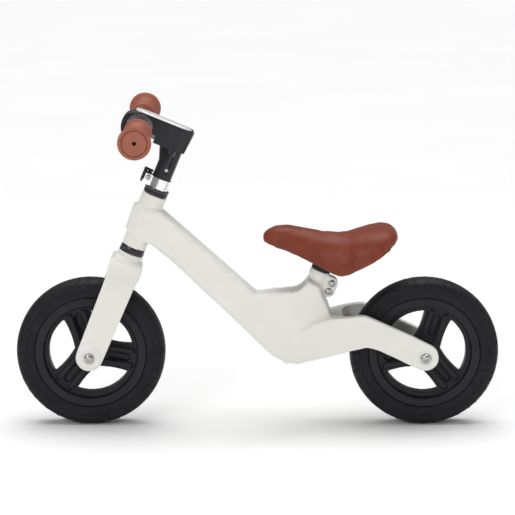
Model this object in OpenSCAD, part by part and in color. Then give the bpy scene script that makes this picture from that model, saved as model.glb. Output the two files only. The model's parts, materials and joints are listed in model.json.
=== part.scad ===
// Child's balance bike: one-piece cast frame, two foam-tyred wheels, a rigid
// fork, a height-adjustable handlebar and a height-adjustable saddle.
// Axes: +Z up, front wheel towards -X, Y across. The origin is on the ground
// midway between the axles. Millimetres.

/* [Overall] */
// Distance between the two axles
wheelbase = 492; // [440:2:560]
// Outer diameter of the tyres
tyre_d = 220; // [200:2:250]
// Lean of the steering axis from vertical, degrees
head_lean = 22.3; // [18:0.1:26]
// Lean of the seat tube from vertical, degrees
seat_lean = 22; // [18:0.5:25]
// Width across the handlebar, end to end
bar_w = 338; // [280:2:420]

/* [Wheels] */
// Width of the tyre
tyre_w = 42; // [34:1:48]
// Radius where the tyre meets the rim lip
lip_r = 82.3; // [76:0.1:86]
// Radius of the inside of the rim
rim_inner_r = 62; // [50:1:64]
// Width of the rim over its lips
rim_w = 36; // [28:1:38]
// Width of one spoke arm
spoke_w = 41.4; // [24:0.2:46]
// Number of spoke arms
spoke_n = 3; // [3:1:5]
// How far one spoke arm of the front wheel is turned, degrees
front_turn = 110; // [0:1:120]
// How far one spoke arm of the rear wheel is turned, degrees
rear_turn = 70; // [0:1:120]
// Length of the hub barrel
hub_w = 60; // [52:1:64]
// Radius of the hub barrel
hub_r = 17; // [14:0.5:19]
// Outer radius of the ball bearings
bearing_r = 11; // [9:0.5:12]
// Width of the ball bearings
bearing_w = 7; // [5:0.5:9]
// Radius of both axles
axle_r = 4; // [3:0.5:5]

/* [Fork] */
// Distance between the inner faces of the fork legs and of the rear stays
dropout_gap = 72; // [68:1:84]
// Thickness of a fork leg and of a rear stay
leg_t = 14; // [10:0.5:18]
// Width of a fork leg at the axle
leg_low_w = 39.5; // [34:0.5:46]
// Width of a fork leg below the crown
leg_high_w = 44; // [38:0.5:50]
// Gap between the tyre and the crown
crown_gap = 12; // [8:1:24]
// Height of the crown over its underside
crown_h = 30; // [24:1:40]

/* [Headset and steerer] */
// Radius of the steerer tube
steerer_r = 12.7; // [11:0.1:14]
// Wall of the steerer tube
steerer_wall = 1.5; // [1:0.1:2.5]
// Length of the head tube
head_len = 84; // [60:1:110]
// Outer radius of the head tube
head_r = 18.3; // [17.5:0.1:22]
// Height of one headset ring, a cup flange or a cover
ring_h = 4.8; // [3:0.1:7]
// Radius of the headset rings
ring_r = 18.5; // [17.8:0.1:23]
// Height of the clamp collar
collar_h = 15.6; // [12:0.1:22]
// Wall of the clamp collar
collar_wall = 2.6; // [2:0.1:5]

/* [Handlebar and stem] */
// Radius of the handlebar tube
bar_r = 11.1; // [9:0.1:12.7]
// How far the bar sits in front of the steering axis
bar_forward = 58; // [40:1:70]
// Height of the bar over the clamp collar
bar_rise = 60.5; // [50:0.5:90]
// How far the handlebar can be raised
bar_travel = 50; // [20:1:60]
// Length of one grip
grip_l = 96; // [80:1:120]
// Radius of a grip's body
grip_r = 13.6; // [12.5:0.1:16]
// Radius of the outer flange of a grip
grip_flange_r = 23.8; // [18:0.1:28]

/* [Saddle] */
// Length of the saddle
saddle_l = 197; // [170:1:230]
// Width of the saddle
saddle_w = 122; // [100:1:150]
// Radius of the seat post
post_r = 11.1; // [10:0.1:13]
// How far the saddle can be raised
saddle_travel = 60; // [20:1:70]

/* [Frame] */
// Width of the frame body
body_w = 44; // [38:1:50]
// Wall of the frame casting
body_wall = 5; // [3:0.5:7]
// Wall of the seat tube
seat_wall = 2.8; // [2:0.1:5]

/* [Hidden] */

tyre_r = tyre_d / 2;
half_base = wheelbase / 2;
slack = 0.07;               // radial play of a part that turns or slides
play = 0.3;                 // gap between parts that move past each other
round_fn = 96;
small_fn = 48;

leg_in = dropout_gap / 2;
leg_out = leg_in + leg_t;
boss_h = 2;                 // dropout boss over the leg's face
boss_r = 16.6;
washer_t = 1;
head_h = 4;                 // height of an axle bolt's button head
axle_head_r = 7;
bearing_bore = axle_r + slack;

crown_low = tyre_r + crown_gap;
crown_top = crown_low + crown_h;
race_top = crown_top + 8 + ring_h;
head_low = race_top + play + ring_h;
head_top = head_low + head_len;
cover_low = head_top + ring_h + play;
cover_top = cover_low + ring_h;
collar_low = cover_top + play;
collar_top = collar_low + collar_h;
steerer_top = collar_top;
cup_r = 16.3;               // radius of the cups' seats in the head tube
cup_bore = steerer_r + 2.3;
cup_depth = 10;

inner_post_r = steerer_r - steerer_wall - slack;
bar_z = collar_top + bar_rise;
sleeve_r = steerer_r + 1.2;
sleeve_low = collar_top + play;
housing_top = bar_z + 21;
housing_low = bar_z - 14;
housing_r = 20.5;
hook_r = 25.5;
barrel_r = 19.4;
ear_w = 18;
collar_r = steerer_r + collar_wall;
clamp_x = -(collar_r + 3.4);
clamp_z = collar_low + 0.68 * collar_h;

// Seat tube: top of its axis, and its lug, in the frame's own axes.
seat_top = [half_base - 153.2, 0, tyre_r + 121.4];
seat_r = post_r + seat_wall;
seat_lip = 0;
seat_depth = 128;
ear_bolt_x = seat_r + 8.4;
ear_round = 8.8;            // radius of the lug's ears round their bolts
ear_half = 9.5;             // half the width over the two ears
ear_bolt_z = [-11, -23.8];
ear_bolt_r = 3;

// ---- helpers ----

// Puts children on the steering axis: local z runs up it from the front axle.
module on_steering() {
    translate([-half_base, 0, tyre_r]) rotate([0, head_lean, 0]) children();
}

// Puts children on the seat tube: local z runs up it from the lug.
module on_seat_tube() {
    translate(seat_top) rotate([0, seat_lean, 0]) children();
}

// Extrudes a side view, drawn as (x, z), across the bike.
module across(width, y = 0) {
    translate([0, y, 0]) rotate([90, 0, 0]) linear_extrude(width, center = true) children();
}

// A cylinder lying across the bike, from y0 to y1.
module cross_pin(radius, y0, y1) {
    translate([0, y1, 0]) rotate([90, 0, 0]) cylinder(r = radius, h = y1 - y0, $fn = small_fn);
}

// A ring along z.
module ring(outer, inner, z0, z1) {
    difference() {
        translate([0, 0, z0]) cylinder(r = outer, h = z1 - z0, $fn = round_fn);
        translate([0, 0, z0 - 1]) cylinder(r = inner, h = z1 - z0 + 2, $fn = round_fn);
    }
}

// A straight slot's outline, round at both ends.
module slot_2d(x0, x1, radius) {
    translate([x0, -radius]) square([x1 - x0, 2 * radius]);
    translate([x0, 0]) circle(radius, $fn = small_fn);
    translate([x1, 0]) circle(radius, $fn = small_fn);
}

// Points on an arc.
function arc(c, radius, a0, a1, steps) = [
    for (i = [0 : steps]) let (a = a0 + (a1 - a0) * i / steps)
        [c[0] + radius * cos(a), c[1] + radius * sin(a)]
];

// Unit left-hand normal of the edge from a to b.
function edge_normal(a, b) = let (d = b - a) [-d[1], d[0]] / norm(d);

// Moves each point of a closed counter-clockwise outline inwards by its own amount.
function inset(points, amount) = [
    for (i = [0 : len(points) - 1])
        let (
            n = len(points),
            before = edge_normal(points[(i + n - 1) % n], points[i]),
            after = edge_normal(points[i], points[(i + 1) % n])
        )
        points[i] + amount[i] * (before + after) / (1 + before * after)
];

// An outline drawn as (x, z), extruded across with its two rims chamfered.
module bevelled(points, width, amount, depth) {
    n = len(points);
    small = inset(points, amount);
    ring_at = [
        [small, -width / 2],
        [points, depth - width / 2],
        [points, width / 2 - depth],
        [small, width / 2]
    ];
    vertices = [for (r = ring_at) for (p = r[0]) [p[0], r[1], p[1]]];
    polyhedron(vertices, skin_faces(n, 4));
}

// Faces of a closed skin over count rings of n points each: triangles between
// neighbouring rings, and a cap on the first ring and on the last.
function skin_faces(n, count) = concat(
    [
        for (k = [0 : count - 2]) for (i = [0 : n - 1])
            let (a = k * n + i, b = k * n + (i + 1) % n)
            for (f = [[a, b, b + n], [a, b + n, a + n]]) f
    ],
    [[for (i = [n - 1 : -1 : 0]) i], [for (i = [0 : n - 1]) (count - 1) * n + i]]
);

// Dome head with a hexagon socket, on the -y end of a bolt across the bike.
module button_head(radius, height, y) {
    difference() {
        translate([0, y, 0]) rotate([90, 0, 0]) rotate_extrude($fn = small_fn)
            polygon(concat([[0, 0], [radius, 0], [radius, 0.25 * height]],
                [for (a = [15 : 15 : 60]) [radius * (0.42 + 0.58 * cos(a)), height * (0.25 + 0.75 * sin(a))]],
                [[0.55 * radius, height], [0, height]]));
        translate([0, y - height - 1, 0]) rotate([-90, 0, 0])
            cylinder(r = 0.42 * radius, h = 0.55 * height + 1, $fn = 6);
    }
}

// Point of the side view given on the steering axis, x across it and z up it.
function steer_pt(x, z) = [
    -half_base + x * cos(head_lean) + z * sin(head_lean),
    tyre_r - x * sin(head_lean) + z * cos(head_lean)
];

// Point of the side view given on the seat tube's axis.
function seat_pt(x, z) = [
    seat_top[0] + x * cos(seat_lean) + z * sin(seat_lean),
    seat_top[2] - x * sin(seat_lean) + z * cos(seat_lean)
];

// Point of the side view given from the rear axle.
function rear_pt(x, z) = [half_base + x, tyre_r + z];

// ---- frame ----

// Underside of the body, from the head tube to the yoke, then its rear edge.
body_low = [
    steer_pt(2, head_low + 12), steer_pt(21.5, head_low + 12.5), steer_pt(57, head_low + 2),
    rear_pt(-276, 42.5), rear_pt(-234, 0.5), rear_pt(-220, -10.4), rear_pt(-206, -17),
    rear_pt(-191, -18.4), rear_pt(-177, -17), rear_pt(-153, -10)
];
body_rear = [
    rear_pt(-130, 2), rear_pt(-122, 10), rear_pt(-122, 26), rear_pt(-135.5, 51.7),
    rear_pt(-142.4, 73.2), seat_pt(18.5, -33)
];
// Top of the body, from the seat tube forward to the head tube.
body_top = [
    seat_pt(6, -18), seat_pt(-12.5, -17), seat_pt(-14, -23), seat_pt(-17, -31.2),
    seat_pt(-22.3, -38.5), seat_pt(-30.8, -43.9), seat_pt(-47.8, -52), rear_pt(-243, 87.6),
    rear_pt(-249, 88.8), steer_pt(19.9, head_low + 65.5), steer_pt(2, head_low + 66)
];
body_outline = concat(body_low, body_rear, body_top);
low_chamfer = 9;
top_chamfer = 3;
body_chamfers = concat(
    [for (p = body_low) low_chamfer], [for (p = body_rear) top_chamfer],
    [for (p = body_top) top_chamfer]
);
// The casting is open underneath, so its core runs out through the underside.
core_outline = inset(body_outline, concat(
    [for (p = body_low) -2 * body_wall], [for (p = body_rear) body_wall],
    [for (p = body_top) body_wall]
));

// Side view of the yoke and one stay.
stay_end_r = 19;
stay_outline = concat(
    [rear_pt(-206, -13), rear_pt(-188, -16.5), rear_pt(-139, -0.5), rear_pt(-112, 9.2),
        rear_pt(-88, 15.6), rear_pt(-79, 14.5), rear_pt(-69, 11.4), rear_pt(-43.6, -0.5),
        rear_pt(-22.6, -11)],
    arc(rear_pt(0, 0), stay_end_r, -108, 62, 14),
    [rear_pt(-14, 28.4), rear_pt(-84, 60.6), rear_pt(-90, 62.2), rear_pt(-97, 62.4),
        rear_pt(-138, 56), rear_pt(-168, 44), rear_pt(-206, 12)]
);
// Half of the yoke's plan: how wide it is at each distance in front of the rear axle.
yoke_flare = [[-206, 0.42], [-190, 0.46], [-165, 0.6], [-140, 0.79], [-118, 0.94], [-95, 1], [30, 1]];

module yoke_plan() {
    difference() {
        polygon(concat(
            [for (p = yoke_flare) [half_base + p[0], -p[1] * leg_out]],
            [for (i = [len(yoke_flare) - 1 : -1 : 0])
                [half_base + yoke_flare[i][0], yoke_flare[i][1] * leg_out]]
        ));
        wheel_slot_2d();
    }
}

// The space in the yoke that the rear wheel turns in.
module wheel_slot_2d() {
    corner = 16;
    front = half_base - tyre_r - 10;
    translate([front + corner, -leg_in]) square([tyre_r + 60, 2 * leg_in]);
    translate([front, corner - leg_in]) square([tyre_r, 2 * (leg_in - corner)]);
    for (s = [-1, 1])
        translate([front + corner, s * (leg_in - corner)]) circle(corner, $fn = small_fn);
}

// Cross ribs that stiffen the open underside of the body.
module core_2d() {
    difference() {
        polygon(core_outline);
        for (x = [-250, -205, -160])
            translate(rear_pt(x - 30, 60)) rotate(45) square([3, 260], center = true);
    }
}

module head_tube_outside() {
    rotate_extrude($fn = round_fn) polygon([
        [0, head_low], [head_r, head_low], [head_r, head_low + 19], [head_r + 3.7, head_low + 23],
        [head_r + 5.4, head_low + 57], [head_r + 5.4, head_low + 60], [head_r, head_low + 63.5],
        [head_r, head_top], [0, head_top]
    ]);
}

module seat_tube_outside() {
    translate([0, 0, -seat_depth - 4]) cylinder(r = seat_r, h = seat_depth + 4, $fn = round_fn);
    translate([0, 0, -9]) cylinder(r = seat_r + 1.1, h = 9 + seat_lip, $fn = round_fn);
    across(2 * ear_half) {
        translate([0, ear_bolt_z[1] - ear_round]) square([ear_bolt_x, ear_bolt_z[0] - ear_bolt_z[1] + 2 * ear_round]);
        translate([ear_bolt_x, ear_bolt_z[0]]) circle(ear_round, $fn = small_fn);
        translate([ear_bolt_x, ear_bolt_z[1]]) circle(ear_round, $fn = small_fn);
        translate([0, ear_bolt_z[1]]) square([ear_bolt_x + ear_round, ear_bolt_z[0] - ear_bolt_z[1]]);
    }
}

module frame() {
    color("ivory") difference() {
        union() {
            difference() {
                bevelled(body_outline, body_w, body_chamfers, 6);
                across(body_w - 2 * body_wall) core_2d();
            }
            intersection() {
                across(2 * leg_out) polygon(stay_outline);
                translate([0, 0, 60]) linear_extrude(160) yoke_plan();
            }
            for (s = [-1, 1])
                cross_at_rear(boss_r, s * leg_out, s * (leg_out + boss_h));
            on_steering() head_tube_outside();
            on_seat_tube() seat_tube_outside();
        }
        on_steering() {
            translate([0, 0, head_low - 1]) cylinder(r = cup_bore, h = head_len + 2, $fn = round_fn);
            translate([0, 0, head_low - 1]) cylinder(r = cup_r, h = cup_depth + 1, $fn = round_fn);
            translate([0, 0, head_top - cup_depth]) cylinder(r = cup_r, h = cup_depth + 1, $fn = round_fn);
        }
        on_seat_tube() {
            translate([0, 0, -seat_depth]) cylinder(r = post_r + slack, h = seat_depth + 10, $fn = round_fn);
            translate([0, -1.2, -36]) cube([50, 2.4, 50]);
            for (z = ear_bolt_z)
                translate([ear_bolt_x, 0, z]) cross_pin(ear_bolt_r, -20, 20);
        }
        translate(rear_hub()) cross_pin(axle_r, -100, 100);
    }
}

function rear_hub() = [half_base, 0, tyre_r];
function front_hub() = [-half_base, 0, tyre_r];

// A disc on the rear axle between two places across the bike, in either order.
module cross_at_rear(radius, y0, y1) {
    translate(rear_hub()) cross_pin(radius, min(y0, y1), max(y0, y1));
}

// ---- headset ----

// A pressed cup: a flange outside the head tube and a sleeve inside it.
module cup(face, dir) {
    rotate_extrude($fn = round_fn) polygon([
        [cup_bore, face - dir * cup_depth], [cup_r, face - dir * cup_depth], [cup_r, face],
        [ring_r - 0.9, face], [ring_r - 0.5, face + dir * 0.45 * ring_h],
        [ring_r - 1.2, face + dir * 0.6 * ring_h], [ring_r - 0.3, face + dir * 0.8 * ring_h],
        [ring_r - 0.3, face + dir * ring_h], [cup_bore, face + dir * ring_h]
    ]);
}

module head_cups() {
    color("black") on_steering() {
        cup(head_low, -1);
        cup(head_top, 1);
    }
}

module head_bearings() {
    color("silver") on_steering() {
        ring(cup_bore, steerer_r + slack, head_low + 1, head_low + 8);
        ring(cup_bore, steerer_r + slack, head_top - 8, head_top - 1);
    }
}

module crown_race() {
    color("black") on_steering() rotate_extrude($fn = round_fn) polygon([
        [steerer_r, race_top - ring_h], [ring_r, race_top - ring_h], [ring_r, race_top - 1.6],
        [ring_r - 1, race_top - 0.8], [ring_r - 1, race_top], [steerer_r, race_top]
    ]);
}

module headset_cover() {
    color("black") on_steering() rotate_extrude($fn = round_fn) polygon([
        [steerer_r, cover_low], [ring_r - 1, cover_low], [ring_r - 0.4, cover_low + 1.5],
        [ring_r, cover_top - 1.2], [ring_r - 0.8, cover_top], [steerer_r, cover_top]
    ]);
}

// ---- seat clamp ----

module seat_clamp_bolts() {
    color("silver") on_seat_tube() for (z = ear_bolt_z) translate([ear_bolt_x, 0, z]) {
        button_head(5.25, 3.3, -ear_half);
        cross_pin(ear_bolt_r, -ear_half, ear_half + 5);
    }
}

module seat_clamp_nuts() {
    color("silver") on_seat_tube() for (z = ear_bolt_z) translate([ear_bolt_x, 0, z])
        difference() {
            translate([0, ear_half + 4.6, 0]) rotate([90, 0, 0]) cylinder(r = 5.6, h = 4.6, $fn = 6);
            cross_pin(ear_bolt_r, ear_half - 1, ear_half + 10);
        }
}

// ---- axles, the same for both wheels ----

module axle_bolt() {
    y = -(leg_out + boss_h + washer_t);
    button_head(axle_head_r, head_h, y);
    cross_pin(axle_r, y, -y);
}

module axle_nut() {
    y = leg_out + boss_h + washer_t;
    difference() {
        mirror([0, 1, 0]) button_head(axle_head_r, head_h, -y);
        cross_pin(axle_r, y - 1, y + 0.01);
    }
}

module axle_washers() {
    for (s = [-1, 1]) {
        y = s * (leg_out + boss_h + washer_t / 2);
        difference() {
            cross_pin(axle_head_r + 1.2, y - washer_t / 2, y + washer_t / 2);
            cross_pin(axle_r, y - 5, y + 5);
        }
    }
}

// Sleeves that keep the hub centred between the dropouts.
module axle_spacers() {
    for (s = [-1, 1]) {
        y0 = s * (hub_w / 2 + play);
        y1 = s * leg_in;
        difference() {
            cross_pin(axle_r + 2.4, min(y0, y1), max(y0, y1));
            cross_pin(axle_r, min(y0, y1) - 1, max(y0, y1) + 1);
        }
    }
}

module rear_axle_bolt() { color("silver") translate(rear_hub()) axle_bolt(); }
module rear_axle_nut() { color("silver") translate(rear_hub()) axle_nut(); }
module rear_washers() { color("silver") translate(rear_hub()) axle_washers(); }
module rear_spacers() { color("silver") translate(rear_hub()) axle_spacers(); }
module front_axle_bolt() { color("silver") translate(front_hub()) axle_bolt(); }
module front_axle_nut() { color("silver") translate(front_hub()) axle_nut(); }
module front_washers() { color("silver") translate(front_hub()) axle_washers(); }
module front_spacers() { color("silver") translate(front_hub()) axle_spacers(); }

// ---- wheels, modelled at the origin with the axle along Y ----

lip_t = 3;
seat_step = 5.3;            // depth of the tyre's seat below the rim lips
rim_half = rim_w / 2;

// One edge of a spoke arm along +x, curving in a little; side is 1 or -1.
function spoke_edge(side, x0, x1) = [
    for (i = [0 : 8]) [x0 + (x1 - x0) * i / 8, side * (spoke_w / 2 - 2.2 * sin(180 * i / 8))]
];

function turned(points, a) = [
    for (p = points) [p[0] * cos(a) - p[1] * sin(a), p[0] * sin(a) + p[1] * cos(a)]
];

// The opening between two neighbouring spoke arms, past the inside of the rim.
module opening_2d(far_r) {
    step = 360 / spoke_n;
    near_x = spoke_w / 2 / tan(step / 2);
    far_x = sqrt(far_r * far_r - spoke_w * spoke_w / 4);
    edge_a = asin(spoke_w / 2 / far_r);
    next = turned(spoke_edge(-1, near_x, far_x), step);
    polygon(concat(
        spoke_edge(1, near_x, far_x),
        arc([0, 0], far_r, edge_a + 4, step - edge_a - 4, 12),
        [for (i = [8 : -1 : 1]) next[i]]
    ));
}

module rim(turn) {
    rib_off = 11;
    rib_w = 7.2;
    step = 360 / spoke_n;
    difference() {
        union() {
            rotate([90, 0, 0]) rotate_extrude($fn = 180) polygon([
                [rim_inner_r, -10], [rim_inner_r + 6.5, -10], [rim_inner_r + 8, -rim_half],
                [lip_r, -rim_half], [lip_r, lip_t - rim_half], [lip_r - seat_step, lip_t + 1 - rim_half],
                [lip_r - seat_step, rim_half - lip_t - 1], [lip_r, rim_half - lip_t], [lip_r, rim_half],
                [rim_inner_r + 8, rim_half], [rim_inner_r + 6.5, 10], [rim_inner_r, 10]
            ]);
            difference() {
                cross_pin(rim_inner_r + 3, -9, 9);
                for (i = [0 : spoke_n - 1])
                    rotate([0, -turn - step * i, 0]) across(20) opening_2d(rim_inner_r + 1.5);
            }
            for (i = [0 : spoke_n - 1]) rotate([0, -turn - step * i, 0]) for (s = [-1, 1])
                across(25) translate([10, s * rib_off - rib_w / 2]) square([rim_inner_r - 9, rib_w]);
            cross_pin(hub_r, -hub_w / 2, hub_w / 2);
        }
        for (i = [0 : spoke_n - 1]) rotate([0, -turn - step * i, 0])
            for (s = [-1, 1]) across(6, s * 8) slot_2d(hub_r + 13, rim_inner_r - 8, 5);
        cross_pin(9, -hub_w, hub_w);
        for (s = [-1, 1]) {
            y0 = s * (hub_w / 2 - bearing_w - 0.2);
            cross_pin(bearing_r, min(y0, s * hub_w), max(y0, s * hub_w));
        }
    }
}

// Solid foam tyre: a flat-sided ring whose tread is one wide arc.
module tyre() {
    half = tyre_w / 2;
    shoulder = tyre_r - 9;
    tread_half = half - 2;
    rise = tyre_r - shoulder;
    tread_r = (tread_half * tread_half + rise * rise) / (2 * rise);
    tread_a = asin(tread_half / tread_r);
    seat_half = rim_half - lip_t - 1;
    rotate([90, 0, 0]) rotate_extrude($fn = 180) polygon(concat(
        [[lip_r - seat_step, seat_half], [lip_r - seat_step, -seat_half],
            [lip_r, lip_t - rim_half], [lip_r, -rim_half - 0.5], [lip_r + 3, -half + 1.2],
            [lip_r + 8, -half], [lip_r + 14, -half]],
        arc([tyre_r - tread_r, 0], tread_r, -tread_a, tread_a, 16),
        [[lip_r + 14, half], [lip_r + 8, half], [lip_r + 3, half - 1.2],
            [lip_r, rim_half + 0.5], [lip_r, rim_half - lip_t]]
    ));
}

module wheel_bearings() {
    for (s = [-1, 1]) {
        y = s * (hub_w / 2 - bearing_w / 2 - 0.1);
        difference() {
            cross_pin(bearing_r, y - bearing_w / 2, y + bearing_w / 2);
            cross_pin(bearing_bore, y - bearing_w, y + bearing_w);
        }
    }
}

// Tube between the two inner rings.
module bearing_sleeve() {
    half = hub_w / 2 - bearing_w - 0.2;
    difference() {
        cross_pin(axle_r + 2.2, -half, half);
        cross_pin(axle_r + play, -half - 1, half + 1);
    }
}

module front_rim() { color("#1c1c20") translate(front_hub()) rim(front_turn); }
module front_tyre() { color("#222226") translate(front_hub()) tyre(); }
module front_bearings() { color("silver") translate(front_hub()) wheel_bearings(); }
module front_bearing_sleeve() { color("silver") translate(front_hub()) bearing_sleeve(); }
module rear_rim() { color("#1c1c20") translate(rear_hub()) rim(rear_turn); }
module rear_tyre() { color("#222226") translate(rear_hub()) tyre(); }
module rear_bearings() { color("silver") translate(rear_hub()) wheel_bearings(); }
module rear_bearing_sleeve() { color("silver") translate(rear_hub()) bearing_sleeve(); }

// ---- fork ----

// Side view of the fork, on the steering axis.
module fork_side_2d() {
    low = leg_low_w / 2;
    high = leg_high_w / 2;
    polygon(concat(
        arc([0, 0], low, -180, 0, 16),
        [[high, crown_low - 4], [high + 2.6, crown_low + 14], [high + 2.6, crown_low + 20],
            [high, crown_top - 3.5], [head_r + 1, crown_top], [-head_r - 1, crown_top],
            [-high, crown_top - 3.5], [-high - 2.6, crown_low + 20], [-high - 2.6, crown_low + 14],
            [-high, crown_low - 4]]
    ));
}

// Front view of the fork, drawn as (y, z): an arch whose legs run straight down.
module fork_front_2d() {
    arch_in = leg_in - 2;
    difference() {
        union() {
            translate([-leg_out, -leg_low_w]) square([2 * leg_out, crown_low - 35 + leg_low_w]);
            translate([0, crown_low - 35]) intersection() {
                scale_arch(leg_out, crown_h + 35);
                translate([-leg_out, 0]) square([2 * leg_out, crown_h + 35]);
            }
        }
        translate([-leg_in, -100]) square([2 * leg_in, 100 + crown_low - 45]);
        translate([0, crown_low - 45]) scale_arch(leg_in, 45);
    }
}

// Half-width and height of an arch with a flat crown and rounded shoulders.
module scale_arch(half, height) {
    polygon([for (a = [0 : 6 : 180])
        [half * sign(cos(a)) * pow(abs(cos(a)), 0.7), height * pow(sin(a), 0.85)]]);
}

// Ribbed pocket in the inner face of each leg.
module leg_pocket() {
    for (s = [-1, 1])
        for (z = [[24, 46], [50, 72]])
            across(5, s * (leg_in + 1)) polygon([
                [-13, z[0]], [13, z[0]], [14, z[1]], [-14, z[1]]
            ]);
}

module fork() {
    color("ivory") on_steering() difference() {
        union() {
            intersection() {
                across(2 * leg_out) fork_side_2d();
                rotate([90, 0, 90]) linear_extrude(120, center = true) fork_front_2d();
            }
            for (s = [-1, 1])
                cross_pin(boss_r, min(s * leg_out, s * (leg_out + boss_h)),
                    max(s * leg_out, s * (leg_out + boss_h)));
            translate([0, 0, crown_top - 6]) cylinder(r = head_r + 0.7, h = 14, $fn = round_fn);
        }
        leg_pocket();
        cross_pin(axle_r, -100, 100);
        translate([0, 0, crown_low - 10]) cylinder(r = steerer_r, h = 80, $fn = round_fn);
    }
}

module steerer_tube() {
    color("silver") on_steering() difference() {
        ring(steerer_r, inner_post_r + slack, crown_low + 0.5, steerer_top);
        translate([-steerer_r - 5, -1, steerer_top - 22]) cube([steerer_r + 5, 2, 30]);
    }
}

// ---- clamp collar with its quick-release lever ----

lever_t = 3;
clamp_bolt_r = 2.5;
lever_pin_r = 1.5;
lever_y = ear_w / 2 + 5;    // pivot of the lever, on the far side of the ears
lever_front = clamp_x - 6.2;

module clamp_collar() {
    color("white") on_steering() difference() {
        union() {
            translate([0, 0, collar_low]) cylinder(r = collar_r, h = collar_h, $fn = round_fn);
            translate([clamp_x - 5.2, -ear_w / 2, collar_low]) cube([collar_r - clamp_x - 10, ear_w, collar_h]);
        }
        translate([0, 0, collar_low - 1]) cylinder(r = steerer_r, h = collar_h + 2, $fn = round_fn);
        translate([clamp_x - 20, -1, collar_low - 1]) cube([-clamp_x + 14, 2, collar_h + 2]);
        translate([clamp_x, 0, clamp_z]) cross_pin(clamp_bolt_r, -30, 30);
    }
}

module clamp_bolt() {
    color("silver") on_steering() translate([clamp_x, 0, clamp_z]) {
        button_head(4.2, 2.6, -ear_w / 2);
        cross_pin(clamp_bolt_r, -ear_w / 2, lever_y - lever_pin_r - 0.1);
    }
}

// Barrel nut that the lever's cam turns on: its axis runs along the steering axis.
module clamp_barrel_nut() {
    color("silver") on_steering() difference() {
        translate([clamp_x, lever_y, clamp_z - 5]) cylinder(r = 3.9, h = 10, $fn = small_fn);
        translate([clamp_x, 0, clamp_z]) cross_pin(clamp_bolt_r, 0, lever_y);
        translate([clamp_x, lever_y, clamp_z - 8]) cylinder(r = lever_pin_r, h = 20, $fn = small_fn);
    }
}

module clamp_lever_pin() {
    color("silver") on_steering() translate([clamp_x, lever_y, clamp_z - 9])
        cylinder(r = lever_pin_r, h = 18, $fn = small_fn);
}

// Two cheeks that turn on the pin, an arm and a plate across the front of the ears.
module clamp_lever() {
    half = 9;
    plate_x = lever_front - play - lever_t;
    color("black") on_steering() translate([0, 0, clamp_z]) difference() {
        union() {
            for (s = [-1, 1]) translate([0, 0, s * (half - 1.6) - 1.4]) {
                translate([clamp_x, lever_y, 0]) cylinder(r = 4.4, h = 2.8, $fn = small_fn);
                translate([plate_x, lever_y - 1.4, 0]) cube([clamp_x - plate_x, 5.8, 2.8]);
            }
            translate([plate_x, lever_y - 0.6, -half]) cube([5, 5, 2 * half]);
            translate([plate_x, -ear_w / 2, -half]) cube([lever_t, ear_w / 2 + lever_y + 4.4, 2 * half]);
        }
        translate([clamp_x, lever_y, -20]) cylinder(r = lever_pin_r + slack, h = 40, $fn = small_fn);
    }
}

// ---- stem ----

slot_x = 2;                 // the sleeve's slot and its screw sit just behind the axis
slot_screw_r = 2.4;
slot_screw_z = sleeve_low + 14.5;

module handlebar_post() {
    color("#2a2a2e") on_steering() difference() {
        ring(inner_post_r, inner_post_r - 1.5, collar_top - 115, bar_z - 6);
        translate([slot_x, 0, slot_screw_z]) cross_pin(slot_screw_r, -inner_post_r - 1, 0);
    }
}

// Expander wedge that closes the lower end of the handlebar post.
module post_wedge() {
    color("black") on_steering() translate([0, 0, collar_top - 117])
        cylinder(r = inner_post_r - 1.5, h = 16, $fn = small_fn);
}

// Cast stem: a socket on the post, an arm and a barrel round the bar.
module stem_core() {
    color("silver") on_steering() difference() {
        union() {
            translate([0, 0, bar_z - 22]) cylinder(r = sleeve_r - 0.4, h = 36, $fn = round_fn);
            translate([-bar_forward, -13, bar_z - 10]) cube([bar_forward, 26, 24]);
            translate([-bar_forward, 0, bar_z]) cross_pin(barrel_r - 0.3, -17, 17);
        }
        translate([0, 0, bar_z - 30]) cylinder(r = inner_post_r, h = 24, $fn = round_fn);
        translate([-bar_forward, 0, bar_z]) cross_pin(bar_r, -40, 40);
        translate([-bar_forward - 1, -20, bar_z - 40]) cube([2, 40, 40]);
        for (y = [-9, 9])
            translate([-bar_forward + bar_r + 4.2, y, bar_z - 40]) cylinder(r = 2.5, h = 46, $fn = small_fn);
    }
}

// Pinch screws that close the slit barrel on the bar.
module stem_pinch_screws() {
    color("silver") on_steering() for (y = [-9, 9]) translate([-bar_forward + bar_r + 4.2, y, 0]) {
        translate([0, 0, bar_z - 12.5]) cylinder(r = 2.5, h = 18, $fn = small_fn);
    }
}

// Sleeve under the housing, with a slot on its near side and a gusset in front.
module stem_sleeve() {
    color("#2a2a2e") on_steering() difference() {
        union() {
            translate([0, 0, sleeve_low]) cylinder(r = sleeve_r, h = housing_low - 0.01 - sleeve_low, $fn = round_fn);
            across(3.2) polygon([
                [0, housing_low - 24], [-sleeve_r, housing_low - 22],
                [-sleeve_r - 7.5, housing_low - 0.5], [0, housing_low - 0.5]
            ]);
        }
        translate([0, 0, sleeve_low - 1]) cylinder(r = inner_post_r, h = 90, $fn = round_fn);
        translate([0, 0, bar_z - 22]) cylinder(r = sleeve_r - 0.4, h = 40, $fn = round_fn);
        across(12, -sleeve_r) translate([slot_x, (sleeve_low + housing_low) / 2]) rotate(90) slot_2d(-12, 13, 2.6);
    }
}

module stem_slot_screw() {
    color("silver") on_steering() translate([slot_x, 0, slot_screw_z])
        cross_pin(slot_screw_r, -inner_post_r - 1.6, -inner_post_r + 1.4);
}

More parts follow.
